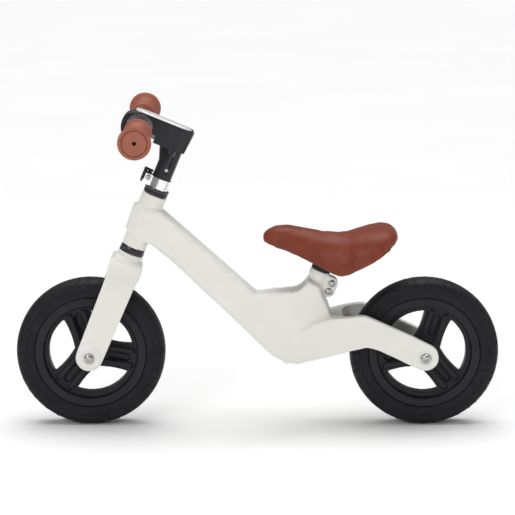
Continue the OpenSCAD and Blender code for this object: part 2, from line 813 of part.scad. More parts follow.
// Side view of the housing on the steering axis: a flat top that hooks over the bar.
module housing_side_2d() {
    hook = [-bar_forward - 1.5, bar_z - 2];
    difference() {
        polygon(concat(
            [[sleeve_r + 2.6, housing_low], [housing_r - 0.5, housing_top - 3], [housing_r - 3.5, housing_top]],
            arc([hook[0], housing_top - 23], 23, 90, 125, 6),
            arc(hook, hook_r, 150, 222, 8),
            [[hook[0], hook[1] - 10], [-bar_forward + barrel_r, housing_low]]
        ));
        translate([-bar_forward, bar_z]) circle(barrel_r, $fn = round_fn);
        translate([-bar_forward - 4, bar_z - 60]) rotate(-8) square([barrel_r + 4, 60]);
    }
}

module housing_plan_2d() {
    slot_2d(-bar_forward - 27.5 + housing_r, 0, housing_r);
}

module stem_housing() {
    color("#2a2a2e") on_steering() difference() {
        intersection() {
            across(3 * housing_r) housing_side_2d();
            translate([0, 0, housing_low - 30]) linear_extrude(90) housing_plan_2d();
        }
        // room for the cast stem
        translate([0, 0, housing_low - 10]) cylinder(r = sleeve_r - 0.4, h = bar_z + 14 - housing_low + 10, $fn = round_fn);
        translate([-bar_forward, -13, housing_low - 5]) cube([bar_forward, 26, bar_z + 14 - housing_low + 5]);
        // recess for the top cover
        translate([0, 0, housing_top - 1.8]) linear_extrude(10) slot_2d(-bar_forward + 2, -1, 15.5);
    }
}

module stem_top_cover() {
    color("white") on_steering() {
        translate([0, 0, housing_top - 1.8]) linear_extrude(2.4) slot_2d(-bar_forward + 2, -1, 15.5);
        translate([0, 0, housing_top]) linear_extrude(1.4) slot_2d(-bar_forward + 6, -5, 11.5);
    }
}

// ---- handlebar and grips ----

module at_bar() { on_steering() translate([-bar_forward, 0, bar_z]) children(); }

module handlebar() {
    half = bar_w / 2 - 6;
    color("silver") at_bar() difference() {
        cross_pin(bar_r, -half, half);
        cross_pin(bar_r - 1.8, -half - 1, half + 1);
    }
}

module bar_plugs() {
    half = bar_w / 2 - 6;
    color("black") at_bar() for (s = [-1, 1])
        cross_pin(bar_r - 1.8, s > 0 ? half - 14 : -half, s > 0 ? half : 14 - half);
}

// Grip from its inner flange outwards; dir is -1 on the near side.
module grip(dir) {
    low = bar_w / 2 - grip_l;
    cap = 6;
    rotate([-90 * dir, 0, 0]) difference() {
        rotate_extrude($fn = round_fn) polygon(concat(
            [[bar_r, low], [20.5, low]], [[20.5, low + 3.2], [19.3, low + 4.4]],
            [[grip_r + 0.8, low + 6.5], [grip_r, low + 12], [grip_r + 0.6, low + 40],
                [grip_r, low + grip_l - 22], [grip_r + 1.2, low + grip_l - 11],
                [grip_flange_r - 1.2, low + grip_l - 7.4], [grip_flange_r, low + grip_l - 5.6],
                [grip_flange_r, low + grip_l - 2], [grip_flange_r - 1.6, low + grip_l - 0.4],
                [grip_flange_r - 4.6, low + grip_l - 0.4], [grip_flange_r - 5.2, low + grip_l - 1.6],
                [grip_flange_r - 6.2, low + grip_l - 1.6], [grip_flange_r - 6.6, low + grip_l],
                [0, low + grip_l], [0, low + grip_l - cap], [bar_r, low + grip_l - cap]]
        ));
        translate([0, 0, low + grip_l - cap - 1]) cylinder(r = 2.85, h = cap + 2, $fn = small_fn);
    }
}

module grip_left() { color("#a66552") at_bar() grip(1); }
module grip_right() { color("#a66552") at_bar() grip(-1); }

// ---- saddle ----

// The saddle's own axes: x from its nose, z from the ground.
saddle_nose = seat_top[0] - 84.6;
saddle_z = seat_top[2];
k_len = saddle_l / 197;
k_wide = saddle_w / 122;
// Stations from nose to tail: place, half width, top, lower edge of the skirt.
saddle_stations = [
    [0, 11, 54.5, 44.5], [7, 17, 60.6, 41.5], [18, 22, 65.8, 38], [36, 26, 67.2, 32],
    [61, 30, 61.6, 21], [87, 37, 55.9, 8.5], [104, 43, 54.2, 0.5], [113, 47, 53.8, -1],
    [124, 51, 54.8, 1.5], [137, 56, 58.6, 9.3], [156, 60.5, 63.8, 19.8], [173, 60, 67.2, 31],
    [185, 52, 66, 40.5], [192, 42, 61.5, 46.5], [197, 26, 56.5, 50]
];

// A dome's section: points from its right foot over the top to its left foot.
// A cut dome starts a little higher up, without changing the rest of its curve.
function dome(x, half, low, top, cut) = [
    for (a = concat(cut ? [] : [0], [5], [for (b = [15 : 15 : 165]) b], [175], cut ? [] : [180]))
        [x, half * sign(cos(a)) * pow(abs(cos(a)), 0.62), low + (top - low) * pow(sin(a), 0.72)]
];

// Closed solid under a dome, through stations first to last; gap pulls it in all
// round and drop lowers its flat underside.
module saddle_solid(first, last, gap, drop, cut = false) {
    rings = [
        for (i = [first : last]) let (st = saddle_stations[i])
            dome(saddle_nose + st[0] * k_len, st[1] * k_wide - gap,
                saddle_z + st[3] - drop, saddle_z + st[2] - gap, cut)
    ];
    faces = skin_faces(len(rings[0]), len(rings));
    polyhedron([for (r = rings) for (p = r) p], [for (f = faces) [for (i = [len(f) - 1 : -1 : 0]) f[i]]]);
}

pad_wall = 9;               // thickness of the padding and its cover
pan_wall = 3;               // thickness of the plastic pan
pan_gap = 0.05;             // glue line between pad and pan
pad_drop = 6;               // how far the hollows are cut past the lower edge
neck_top = 40.5;            // height of the neck's flat top over the lug
neck_wide_h = 24;           // how far up the neck its wide foot reaches
neck_screw_r = 2;
neck_screw_z = 17;

module saddle_cover() {
    color("#854430") difference() {
        saddle_solid(0, 14, 0, 0);
        saddle_solid(2, 12, pad_wall, pad_drop);
    }
}

// Plastic pan under the padding.
module saddle_base() {
    color("black") difference() {
        saddle_solid(2, 12, pad_wall + pan_gap, pad_drop, true);
        saddle_solid(3, 11, pad_wall + pan_gap + pan_wall, pad_drop);
    }
}

// Neck under the pan that holds the seat post.
module saddle_neck() {
    color("black") difference() {
        intersection() {
            on_seat_tube() {
                translate([0, 0, seat_lip + play]) cylinder(r = seat_r + 0.6, h = 60, $fn = small_fn);
                translate([0, 0, 9]) cylinder(r = seat_r + 5, h = neck_wide_h - 9, $fn = small_fn);
            }
            translate([0, -100, 0]) cube([400, 200, saddle_z + neck_top]);
        }
        on_seat_tube() {
            cylinder(r = post_r, h = 38, $fn = round_fn);
            translate([0, 0, neck_screw_z]) cross_pin(neck_screw_r, -60, 60);
        }
    }
}

module seat_post() {
    color("#2a2a2e") on_seat_tube() difference() {
        ring(post_r, post_r - 1.8, -112, 38);
        translate([0, 0, neck_screw_z]) cross_pin(neck_screw_r, -60, 60);
    }
}

module seat_post_plug() {
    color("black") on_seat_tube() translate([0, 0, -114]) {
        cylinder(r = post_r - 0.4, h = 2, $fn = small_fn);
        cylinder(r = post_r - 1.8, h = 12, $fn = small_fn);
    }
}

// Two screws through the pan's neck into the post.
module saddle_screws() {
    color("silver") on_seat_tube() for (s = [-1, 1])
        translate([0, 0, neck_screw_z]) mirror([0, s > 0 ? 1 : 0, 0]) {
            button_head(4, 2, -seat_r - 5);
            cross_pin(neck_screw_r, -seat_r - 5, -post_r + 3);
        }
}

frame();
head_cups();
head_bearings();
seat_clamp_bolts();
seat_clamp_nuts();
rear_axle_bolt();
rear_axle_nut();
rear_washers();
rear_spacers();
rear_rim();
rear_tyre();
rear_bearings();
rear_bearing_sleeve();
fork();
steerer_tube();
crown_race();
headset_cover();
front_axle_bolt();
front_axle_nut();
front_washers();
front_spacers();
front_rim();
front_tyre();
front_bearings();
front_bearing_sleeve();
clamp_collar();
clamp_bolt();
clamp_barrel_nut();
clamp_lever();
clamp_lever_pin();
handlebar_post();
post_wedge();
stem_core();
stem_sleeve();
stem_housing();
stem_top_cover();
stem_slot_screw();
stem_pinch_screws();
handlebar();
grip_left();
grip_right();
bar_plugs();
seat_post();
seat_post_plug();
saddle_neck();
saddle_base();
saddle_screws();
saddle_cover();
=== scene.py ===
"""Looks of a child's balance bike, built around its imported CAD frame."""
import json
import math
import bpy
from mathutils import Matrix, Vector

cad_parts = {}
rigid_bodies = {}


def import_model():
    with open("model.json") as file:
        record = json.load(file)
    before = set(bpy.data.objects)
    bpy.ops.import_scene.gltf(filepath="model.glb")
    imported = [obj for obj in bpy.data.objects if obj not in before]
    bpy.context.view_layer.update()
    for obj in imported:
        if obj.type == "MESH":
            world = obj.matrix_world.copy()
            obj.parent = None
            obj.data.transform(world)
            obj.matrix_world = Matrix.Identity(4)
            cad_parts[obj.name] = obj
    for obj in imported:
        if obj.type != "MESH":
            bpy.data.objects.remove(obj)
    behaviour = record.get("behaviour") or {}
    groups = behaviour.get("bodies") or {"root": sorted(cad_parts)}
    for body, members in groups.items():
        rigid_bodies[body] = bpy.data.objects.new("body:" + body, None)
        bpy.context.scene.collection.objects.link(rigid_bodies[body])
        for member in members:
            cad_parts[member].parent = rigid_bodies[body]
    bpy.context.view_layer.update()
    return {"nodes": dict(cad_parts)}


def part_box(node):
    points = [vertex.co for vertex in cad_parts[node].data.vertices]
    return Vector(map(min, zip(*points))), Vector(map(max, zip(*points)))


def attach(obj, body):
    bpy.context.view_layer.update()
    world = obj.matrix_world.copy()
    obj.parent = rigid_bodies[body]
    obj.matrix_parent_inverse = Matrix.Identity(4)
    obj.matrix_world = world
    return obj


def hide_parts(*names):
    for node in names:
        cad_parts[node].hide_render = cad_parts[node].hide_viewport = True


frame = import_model()
MM = 0.001

# ---- Camera -------------------------------------------------------------
# A long lens well off to the bike's left side and a little above it, so the
# bike is seen almost square on. It looks at a point above the wheelbase.
view_point = Vector((0, 0, 0.25))
eye = Vector((0, -3.4, 0.98))
SENSOR_MM = 36
LENS_MM = 165.5
look = (view_point - eye).to_track_quat("-Z", "Y").to_euler()
bpy.ops.object.select_all(action="DESELECT")
bpy.ops.object.camera_add(location=eye, rotation=look)
camera = bpy.context.object
camera.name = "camera"
camera.data.sensor_width = SENSOR_MM
camera.data.lens = LENS_MM
bpy.context.scene.camera = camera

# ---- Frame --------------------------------------------------------------
# One magnesium die casting: head tube, body, seat lug and both rear stays.
# Its edges come soft from the die and are fully rounded by shot blasting, and
# it is powder coated in a satin ivory.


def hex_colour(code):
    """Linear colour of an sRGB hex value such as 8A4532."""
    channels = [int(code[i:i + 2], 16) / 255 for i in (0, 2, 4)]
    linear = [c / 12.92 if c <= 0.04045 else ((c + 0.055) / 1.055) ** 2.4 for c in channels]
    return (*linear, 1)


def add_node(tree, kind, values=None, links=None, **settings):
    """Adds a node, sets its settings and input values, and links its inputs."""
    node = tree.nodes.new(kind)
    for name, value in settings.items():
        setattr(node, name, value)
    for socket, value in (values or {}).items():
        node.inputs[socket].default_value = value
    for socket, source in (links or {}).items():
        tree.links.new(source, node.inputs[socket])
    return node


def start_material(name, **values):
    """A new material, its node tree, its shader with uniform values set, and the object's place."""
    material = bpy.data.materials.new(name)
    material.use_nodes = True
    tree = material.node_tree
    shader = tree.nodes["Principled BSDF"]
    for socket, value in values.items():
        shader.inputs[socket.replace("_", " ")].default_value = value
    place = add_node(tree, "ShaderNodeTexCoord").outputs["Object"]
    return material, tree, shader, place


def grain(tree, place, size_mm, detail=2.0, stretch=(1, 1, 1)):
    """Noise whose features are about size_mm across."""
    turned = add_node(tree, "ShaderNodeMapping", {"Scale": stretch}, {"Vector": place})
    return add_node(tree, "ShaderNodeTexNoise", {"Scale": 1 / (size_mm * MM), "Detail": detail},
                    {"Vector": turned.outputs["Vector"]}).outputs["Fac"]


def tint(tree, shader, factor, low, high, start=0.35, stop=0.65):
    """Base colour that runs between two hex colours."""
    ramp = add_node(tree, "ShaderNodeValToRGB", links={"Fac": factor})
    ramp.color_ramp.elements[0].position = start
    ramp.color_ramp.elements[0].color = hex_colour(low)
    ramp.color_ramp.elements[1].position = stop
    ramp.color_ramp.elements[1].color = hex_colour(high)
    tree.links.new(ramp.outputs["Color"], shader.inputs["Base Color"])


def vary_roughness(tree, shader, factor, low, high):
    """Roughness that runs between two values."""
    spread = add_node(tree, "ShaderNodeMapRange",
                      {"From Min": 0.3, "From Max": 0.7, "To Min": low, "To Max": high},
                      {"Value": factor})
    tree.links.new(spread.outputs["Result"], shader.inputs["Roughness"])


def emboss(tree, shader, height, depth_mm):
    """Bump of a real depth in millimetres."""
    bump = add_node(tree, "ShaderNodeBump", {"Strength": 1.0, "Distance": depth_mm * MM},
                    {"Height": height})
    tree.links.new(bump.outputs["Normal"], shader.inputs["Normal"])


def ivory_powder_coat():
    # powder coat flows out nearly flat, with a faint orange peel about 1.5 mm across
    material, tree, shader, place = start_material("ivory_powder_coat", IOR=1.5,
                                                   Coat_Weight=0.22, Coat_Roughness=0.18)
    tint(tree, shader, grain(tree, place, 60), "E7E7DF", "EBEBE4")
    vary_roughness(tree, shader, grain(tree, place, 9), 0.36, 0.46)
    emboss(tree, shader, grain(tree, place, 1.5), 0.035)
    return material


def select_only(*objects):
    """Selects these objects and nothing else, and makes the first one active."""
    bpy.ops.object.select_all(action="DESELECT")
    for item in objects:
        item.select_set(True)
    bpy.context.view_layer.objects.active = objects[0]


def apply_modifier(piece, kind, **settings):
    """Adds a modifier with its settings and applies it."""
    modifier = piece.modifiers.new(kind.lower(), kind)
    for name, value in settings.items():
        setattr(modifier, name, value)
    select_only(piece)
    bpy.ops.object.modifier_apply(modifier=modifier.name)


def soft_copy(node, name, cell_mm, passes):
    """A copy of a CAD node with its sharp edges rounded as a casting's or a moulding's are.

    The mesh is rebuilt in cells of cell_mm and smoothed that many passes.
    """
    source = frame["nodes"][node]
    select_only(source)
    bpy.ops.object.duplicate()
    piece = bpy.context.object
    piece.name = name
    bpy.ops.object.parent_clear(type="CLEAR_KEEP_TRANSFORM")
    bpy.ops.object.mode_set(mode="EDIT")
    bpy.ops.mesh.select_all(action="SELECT")
    bpy.ops.mesh.remove_doubles(threshold=0.01 * MM)
    bpy.ops.object.mode_set(mode="OBJECT")
    bpy.ops.object.transform_apply(location=True, rotation=True, scale=True)
    apply_modifier(piece, "REMESH", mode="VOXEL", voxel_size=cell_mm * MM)
    apply_modifier(piece, "SMOOTH", factor=0.5, iterations=passes)
    bpy.ops.object.shade_smooth()
    return piece


def dress(piece, material):
    """Gives a piece one material all over."""
    piece.data.materials.clear()
    piece.data.materials.append(material)


ivory = ivory_powder_coat()
casting = soft_copy("frame", "frame_casting", cell_mm=1.6, passes=2)
dress(casting, ivory)
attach(casting, "frame")
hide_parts("frame")

# ---- Headset and clamp collar -------------------------------------------
# Black pressed steel cups and rings above and below the head tube, ground
# steel bearing rings inside, and a polished aluminium collar over the steerer.


def dress_node(node, material):
    """Gives a carried-over CAD node its finish."""
    dress(frame["nodes"][node], material)


def black_electrocoat():
    # dipped black paint on steel: thin, even and fairly glossy
    material, tree, shader, place = start_material("black_electrocoat", IOR=1.5,
                                                   Coat_Weight=0.3, Coat_Roughness=0.12)
    tint(tree, shader, grain(tree, place, 4), "1C1A20", "232127")
    vary_roughness(tree, shader, grain(tree, place, 1.5), 0.26, 0.4)
    emboss(tree, shader, grain(tree, place, 0.6), 0.01)
    return material


def bare_metal(name, low, high, rough_low, rough_high, stretch=(1, 1, 1), line_mm=0.5):
    """Bare metal with fine marks of its making, drawn long where stretch is small."""
    material, tree, shader, place = start_material(name, Metallic=1.0)
    tint(tree, shader, grain(tree, place, 6), low, high)
    marks = grain(tree, place, line_mm, 3.0, stretch)
    vary_roughness(tree, shader, marks, rough_low, rough_high)
    emboss(tree, shader, marks, 0.006)
    return material


black_paint = black_electrocoat()
# a buffed collar mirrors the room, with faint long wipe marks
polished = bare_metal("polished_aluminium", "E4E4E6", "F2F2F3", 0.09, 0.2, (1, 0.2, 1), 0.7)
# bearing rings are ground bright and even
ground_steel = bare_metal("ground_bearing_steel", "B4B4B6", "C6C6C8", 0.16, 0.28)
# zinc plate is a greyer, cloudier bright
zinc = bare_metal("zinc_plated_steel", "A6A6A6", "C0BFBC", 0.2, 0.36, (1, 1, 1), 0.8)
for node in ("head_cups", "crown_race", "headset_cover"):
    dress_node(node, black_paint)
for node in ("head_bearings", "front_bearings", "rear_bearings"):
    dress_node(node, ground_steel)
dress_node("clamp_collar", polished)
for node in ("seat_clamp_bolts", "seat_clamp_nuts", "front_axle_bolt", "front_axle_nut",
             "front_washers", "front_spacers", "front_bearing_sleeve", "rear_axle_bolt",
             "rear_axle_nut", "rear_washers", "rear_spacers", "rear_bearing_sleeve",
             "clamp_bolt", "clamp_barrel_nut", "clamp_lever_pin", "stem_slot_screw",
             "stem_pinch_screws", "saddle_screws", "steerer_tube"):
    dress_node(node, zinc)

# ---- Fork ---------------------------------------------------------------
# A second casting, in the same alloy and coat as the frame: a crown that
# arches over the tyre and two flat legs with bosses round the axle.
fork = soft_copy("fork", "fork_casting", cell_mm=1.0, passes=5)
dress(fork, ivory)
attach(fork, "steering")
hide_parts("fork")

# ---- Wheels -------------------------------------------------------------
# Three-armed rims moulded in glass-filled nylon, which leaves a satin skin
# with soft edges and a faint grain.


def moulded_nylon(name, low, high, rough_low, rough_high):
    # glass-filled nylon: satin black, with the mould's fine grain about 0.8 mm across
    material, tree, shader, place = start_material(name, IOR=1.53, Specular_IOR_Level=0.3)
    tint(tree, shader, grain(tree, place, 12), low, high)
    vary_roughness(tree, shader, grain(tree, place, 3), rough_low, rough_high)
    emboss(tree, shader, grain(tree, place, 0.8), 0.03)
    return material


rim_nylon = moulded_nylon("rim_nylon", "15151A", "1C1C21", 0.42, 0.56)
black_nylon = moulded_nylon("black_nylon", "171718", "1E1E20", 0.45, 0.6)
for end in ("front", "rear"):
    rim = soft_copy(end + "_rim", end + "_rim_moulding", cell_mm=1.1, passes=3)
    dress(rim, rim_nylon)
    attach(rim, end + "_wheel")
    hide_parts(end + "_rim")

# ---- Tyres --------------------------------------------------------------
# Solid EVA foam, moulded in one piece: a smooth sidewall, then a raised tread
# whose edge steps in and out, with thin crescent ribs over each shoulder.
TYRE_UNITS = 12                         # pattern repeats round one tyre
UNIT_DEGREES = 360 / TYRE_UNITS
TREAD_BLOCKS = (                        # degrees, and radius of the lower edge at its two sides
    (15.6, 95.2, 97.6),
    (6.0, 93.4, 94.8),
    (7.6, 95.6, 97.2),
)
BLOCK_GAP = 0.04                        # degrees left off each block, so that no two touch
BLOCK_STEP = 1.6                        # degrees between the spun sections of a block
BLOCK_DEPTH = 2.4                       # how thick a block is at the crown, in mm
BLOCK_WALL = 2.2                        # and at the side
CRESCENTS = ((0.3, 0.6), (0.62, 0.42))  # place along the block, and reach towards the crown
NARROW_BLOCK = 10                       # a block of fewer degrees has the first crescent only
CRESCENT_STEPS = 14
CRESCENT_SWEEP = 4.4                    # degrees from one end to the other
CRESCENT_BOW = 1.6                      # degrees that its middle bulges
CRESCENT_R = 0.6                        # of the bead, in mm
FULL_R = 110.0
SHOULDER_R = 98.5
TYRE_HALF_W = 21.0


def tyre_surface(share):
    """Radius and half width, in mm, of the tyre's outside from sidewall (0) to crown (1)."""
    rise = math.pi / 2 * share
    return SHOULDER_R + (FULL_R - SHOULDER_R) * math.sin(rise) ** 0.9, TYRE_HALF_W * math.cos(rise) ** 0.72


def wire(points, name, closed=True):
    """A line through points in metres, which runs back to its start when it is closed."""
    spare = 0 if closed else 1
    bpy.ops.object.select_all(action="DESELECT")
    bpy.ops.mesh.primitive_circle_add(vertices=len(points) + spare, calc_uvs=False, location=(0, 0, 0))
    line = bpy.context.object
    line.name = line.data.name = name
    for vertex, point in zip(line.data.vertices, points):
        vertex.co = point
    if not closed:
        # taking the spare point out opens the ring
        for vertex in line.data.vertices:
            vertex.select = vertex.index == len(points)
        for edge in line.data.edges:
            edge.select = False
        bpy.ops.object.mode_set(mode="EDIT")
        bpy.ops.mesh.delete(type="VERT")
        bpy.ops.object.mode_set(mode="OBJECT")
    return line


def close_up(piece):
    """Merges a mesh's doubled points and turns all its faces outwards."""
    select_only(piece)
    bpy.ops.object.mode_set(mode="EDIT")
    bpy.ops.mesh.select_all(action="SELECT")
    bpy.ops.mesh.remove_doubles(threshold=0.005 * MM)
    bpy.ops.mesh.normals_make_consistent(inside=False)
    bpy.ops.object.mode_set(mode="OBJECT")


def spin_section(points, name, degrees, steps, whole=False):
    """Spins a section of (radius, y) points in mm about the Y axis; one that isn't whole is capped."""
    piece = wire([(r * MM, y * MM, 0) for r, y in points], name)
    bpy.ops.object.mode_set(mode="EDIT")
    bpy.ops.mesh.select_all(action="SELECT")
    if not whole:
        bpy.ops.mesh.edge_face_add()
    bpy.ops.mesh.spin(steps=steps, angle=-math.radians(degrees), center=(0, 0, 0), axis=(0, 1, 0),
                      use_auto_merge=whole)
    bpy.ops.object.mode_set(mode="OBJECT")
    close_up(piece)
    return piece


def ring_section():
    """Section of the foam ring under the tread: its sidewalls, sunk crown and flat bore."""
    crown = [tyre_surface(i / 10) for i in range(1, 11)]
    sidewall = [(82.4, 15.2), (82.6, 18.0), (83.4, 19.0), (85.5, 19.7), (90.0, 20.1), (96.5, 20.0)]
    outer = sidewall + [(r - 1.1, y * 0.95) for r, y in crown]
    mirrored = [(r, -y) for r, y in reversed(outer[:-1])]
    return outer + mirrored + [(77.1, -14.2), (77.1, 14.2)]


def block_section(low_a, low_b, side):
    """Section of one tread block: from its lower edge over the shoulder to the crown."""
    crown = [tyre_surface(i / 8) for i in range(9)]
    outer = [(low_a - 0.5, TYRE_HALF_W - 0.7), (low_a, TYRE_HALF_W)] + crown
    inner = [(r - BLOCK_DEPTH, max(y - BLOCK_WALL, 0)) for r, y in reversed(crown)]
    return [(r, side * y) for r, y in outer + inner + [(low_b - 1, TYRE_HALF_W - BLOCK_WALL)]]


def turn_piece(piece, degrees):
    """Turns a piece about the Y axis through the origin and fixes it in its mesh."""
    piece.data.transform(Matrix.Rotation(math.radians(degrees), 4, "Y"))


def crescent_rib(start, side, lean, reach):
    """A thin bead that follows the shoulder in a crescent, half sunk in it."""
    path = []
    for i in range(CRESCENT_STEPS + 1):
        t = i / CRESCENT_STEPS
        radius, y = tyre_surface(0.02 + reach * math.sin(math.pi * min(1.0, 0.12 + 0.8 * t)))
        turn = math.radians(start + lean * (CRESCENT_SWEEP * t + CRESCENT_BOW * math.sin(math.pi * t)))
        path.append((radius * math.cos(turn) * MM, side * y * MM, -radius * math.sin(turn) * MM))
    wire(path[::-1], "rib", closed=False)
    bpy.ops.object.convert(target="CURVE")
    bead = bpy.context.object
    bead.data.bevel_depth = CRESCENT_R * MM
    bead.data.bevel_resolution = 2
    bead.data.use_fill_caps = True
    bpy.ops.object.convert(target="MESH")
    close_up(bead)
    return bead


def tread_unit(name, lean):
    """One repeat of the tread, both sides: three blocks with crescent ribs on them."""
    parts = []
    start = 0.0
    gap = (UNIT_DEGREES - sum(block[0] for block in TREAD_BLOCKS)) / len(TREAD_BLOCKS)
    for degrees, low_a, low_b in TREAD_BLOCKS:
        crescents = CRESCENTS[:1] if degrees < NARROW_BLOCK else CRESCENTS
        for side in (1, -1):
            block = spin_section(block_section(low_a, low_b, side), name, degrees - BLOCK_GAP,
                                 max(2, round(degrees / BLOCK_STEP)))
            turn_piece(block, start)
            for share, reach in crescents:
                parts.append(crescent_rib(start + degrees * share, side, lean, reach))
            parts.append(block)
        start += degrees + gap
    select_only(*parts)
    bpy.ops.object.join()
    return bpy.context.object


def eva_foam():
    # moulded foam: matt, nearly black, with pores well under a millimetre
    material, tree, shader, place = start_material("eva_foam", IOR=1.45, Specular_IOR_Level=0.28)
    tint(tree, shader, grain(tree, place, 25), "151519", "1C1C20")
    vary_roughness(tree, shader, grain(tree, place, 5), 0.5, 0.64)
    emboss(tree, shader, grain(tree, place, 0.7), 0.05)
    return material


foam = eva_foam()


def build_tyre(name, centre, lean):
    """The foam ring with its tread units, moved to the wheel's centre."""
    parts = [spin_section(ring_section(), name, 360, 144, whole=True)]
    unit = tread_unit(name + "_tread", lean)
    for i in range(1, TYRE_UNITS):
        select_only(unit)
        bpy.ops.object.duplicate()
        turn_piece(bpy.context.object, UNIT_DEGREES * i)
        parts.append(bpy.context.object)
    parts.append(unit)
    select_only(*parts)
    bpy.ops.object.join()
    piece = bpy.context.object
    piece.name = name
    piece.data.transform(Matrix.Translation(centre))
    select_only(piece)
    bpy.ops.object.shade_smooth_by_angle(angle=math.radians(35))
    return piece


for end, lean in (("front", 1), ("rear", -1)):
    low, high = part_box(end + "_tyre")
    tyre = build_tyre(end + "_foam_tyre", (Vector(low) + Vector(high)) / 2, lean)
    dress(tyre, foam)
    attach(tyre, end + "_wheel")
    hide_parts(end + "_tyre")

# ---- Seat post and saddle -----------------------------------------------
# A black-painted steel post in a nylon neck and pan. The pad is one piece of
# soft foam under brown polyurethane leather, drawn tight and tucked under.


def brown_leather():
    # coated leather: satin, with pebbles about 1.1 mm across and a faint clouding of its brown
    material, tree, shader, place = start_material("brown_pu_leather", IOR=1.48, Specular_IOR_Level=0.24,
                                                   Coat_Weight=0.05, Coat_Roughness=0.35)
    cells = add_node(tree, "ShaderNodeTexVoronoi", {"Scale": 1 / (1.1 * MM)}, {"Vector": place},
                     feature="SMOOTH_F1").outputs["Distance"]
    cloud = grain(tree, place, 22, 3.0)
    tint(tree, shader, cloud, "743220", "803A27")
    vary_roughness(tree, shader, grain(tree, place, 7), 0.4, 0.54)
    emboss(tree, shader, cells, 0.07)
    return material


SWELL_PRESSURE = 4.0
SWELL_MM = 2.5                          # the most that the pad swells anywhere
SWELL_FRAMES = 20
saddle_high = Vector(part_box("saddle_cover")[1])


def is_free(vertex):
    """True on the pad's top and outer sides, which the pan doesn't hold."""
    on_side = abs(vertex.co.y) > 0.3 * saddle_high.y and vertex.normal.y * vertex.co.y > 0
    return vertex.normal.z > 0.1 or on_side


def inflate(piece):
    """Lets the pad swell under its cover by cloth simulation."""
    held = piece.vertex_groups.new(name="held")
    held.add([v.index for v in piece.data.vertices if not is_free(v)], 1.0, "REPLACE")
    start = [v.co.copy() for v in piece.data.vertices]
    cloth = piece.modifiers.new("cloth", "CLOTH")
    cloth.settings.quality = 5
    cloth.settings.tension_stiffness = 15
    cloth.settings.compression_stiffness = 15
    cloth.settings.bending_stiffness = 0.5
    cloth.settings.use_pressure = True
    cloth.settings.uniform_pressure_force = SWELL_PRESSURE
    cloth.settings.vertex_group_mass = "held"
    cloth.settings.effector_weights.gravity = 0
    for number in range(1, SWELL_FRAMES + 1):
        bpy.context.scene.frame_set(number)
    solved = piece.evaluated_get(bpy.context.evaluated_depsgraph_get()).data
    ends = [v.co.copy() for v in solved.vertices]
    piece.modifiers.remove(cloth)
    bpy.context.scene.frame_set(1)
    for vertex, old, new in zip(piece.data.vertices, start, ends):
        move = new - old
        if move.length > SWELL_MM * MM:
            move.length = SWELL_MM * MM
        vertex.co = old + move
    piece.vertex_groups.remove(held)


leather = brown_leather()
saddle = soft_copy("saddle_cover", "saddle_pad", cell_mm=2.6, passes=4)
inflate(saddle)
apply_modifier(saddle, "SMOOTH", factor=0.5, iterations=2)
apply_modifier(saddle, "SUBSURF", levels=1, render_levels=1)
select_only(saddle)
bpy.ops.object.shade_smooth()
dress(saddle, leather)
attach(saddle, "saddle")
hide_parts("saddle_cover")
dress_node("seat_post", black_paint)
for node in ("seat_post_plug", "saddle_neck", "saddle_base", "bar_plugs", "post_wedge"):
    dress_node(node, black_nylon)

# ---- Stem ---------------------------------------------------------------
# A cast aluminium stem hidden in moulded ABS: a round sleeve, a housing whose
# front hooks over the bar, and a glossy white cover plate let into its top.


def moulded_abs(name, low, high, rough_low, rough_high, coat):
    # ABS from a polished mould: even and glossy, with hardly any grain
    material, tree, shader, place = start_material(name, IOR=1.5, Specular_IOR_Level=0.35,
                                                   Coat_Weight=coat, Coat_Roughness=0.1)
    tint(tree, shader, grain(tree, place, 15), low, high)
    vary_roughness(tree, shader, grain(tree, place, 2), rough_low, rough_high)
    emboss(tree, shader, grain(tree, place, 0.5), 0.012)
    return material


black_abs = moulded_abs("black_abs", "19181C", "201E23", 0.3, 0.42, 0.08)
white_abs = moulded_abs("white_abs", "F2F2F4", "F8F8F9", 0.12, 0.2, 0.4)
# the stem's core is left as it comes from the mould, its grey darkened well below bare aluminium as
# painted shade for the recess it sits in between grip and housing, and the bar is drawn bright along its
# length
cast = bare_metal("cast_aluminium", "77777B", "8A8A8E", 0.3, 0.42)
tube = bare_metal("drawn_aluminium_tube", "CACACC", "DCDCDE", 0.14, 0.26, (1, 0.15, 1), 0.6)
for node, name, cell_mm, finish, slot in (
        ("stem_housing", "stem_shell", 0.65, black_abs, "black_abs"),
        ("stem_sleeve", "stem_sleeve_moulding", 0.5, black_abs, "black_abs"),
        ("stem_top_cover", "stem_cover_plate", 0.45, white_abs, "white_abs")):
    shell = soft_copy(node, name, cell_mm, passes=4)
    dress(shell, finish)
    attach(shell, "handlebar")
    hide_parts(node)
dress_node("stem_core", cast)
dress_node("handlebar", tube)
dress_node("handlebar_post", black_paint)
lever = soft_copy("clamp_lever", "clamp_lever_moulding", cell_mm=0.4, passes=3)
dress(lever, black_nylon)
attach(lever, "lever")
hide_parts("clamp_lever")

# ---- Grips --------------------------------------------------------------
# Soft rubber sleeves pushed on the bar: a thin inner flange, a waisted body
# with moulded rings for the fingers, and a wide flange that guards the hand.


def grip_rubber():
    # moulded rubber: matt, with a fine bloom
    material, tree, shader, place = start_material("grip_rubber", IOR=1.5, Specular_IOR_Level=0.4)
    tint(tree, shader, grain(tree, place, 8), "985743", "A3614D")
    vary_roughness(tree, shader, grain(tree, place, 2.5), 0.46, 0.6)
    emboss(tree, shader, grain(tree, place, 0.5), 0.03)
    return material


RING_COUNT = 11                         # finger rings along the waist
RING_PITCH = 5.4
RING_H = 0.75
WAIST_R = 13.2
WAIST_SWELL = 0.7                       # how much fuller the middle of the waist is
END_HOLE_R = 2.86
END_WALL = 6                            # thickness of the end, past the bar


